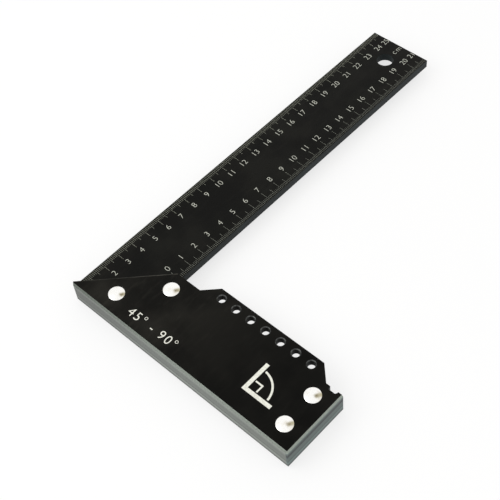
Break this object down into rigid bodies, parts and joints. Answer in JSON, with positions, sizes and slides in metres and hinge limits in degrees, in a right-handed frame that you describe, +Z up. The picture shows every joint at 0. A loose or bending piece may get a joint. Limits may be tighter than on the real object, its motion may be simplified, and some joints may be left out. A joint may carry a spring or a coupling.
{
  "type": "steel square ruler",
  "caption": "L-shaped marking square: a graduated flat blade joined at right angles to a thick riveted stock with a mitred corner and an overhanging row of marking holes.",
  "frame": {"origin": "middle of the square's rectangular outline, at the level of the back rivet heads that it lies on", "axes": "+Z up out of the graduated face, +Y along the blade from the stock towards the tip, +X along the stock away from the blade"},
  "size_m": [0.15, 0.25, 0.0154],
  "materials": {
    "blackened_plate": "satin black coated steel with fine off-white graduations",
    "blackened_cheek": "satin black coated steel faces, with bare ground outer edges",
    "bright_rivet": "polished domed heads"
  },
  "bodies": {
    "root": {"ruler_plate": "blackened_plate", "front_cheek": "blackened_cheek", "back_cheek": "blackened_cheek", "mitre_outer_rivet": "bright_rivet", "mitre_inner_rivet": "bright_rivet", "end_inner_rivet": "bright_rivet", "end_outer_rivet": "bright_rivet"}
  },
  "joints": []
}
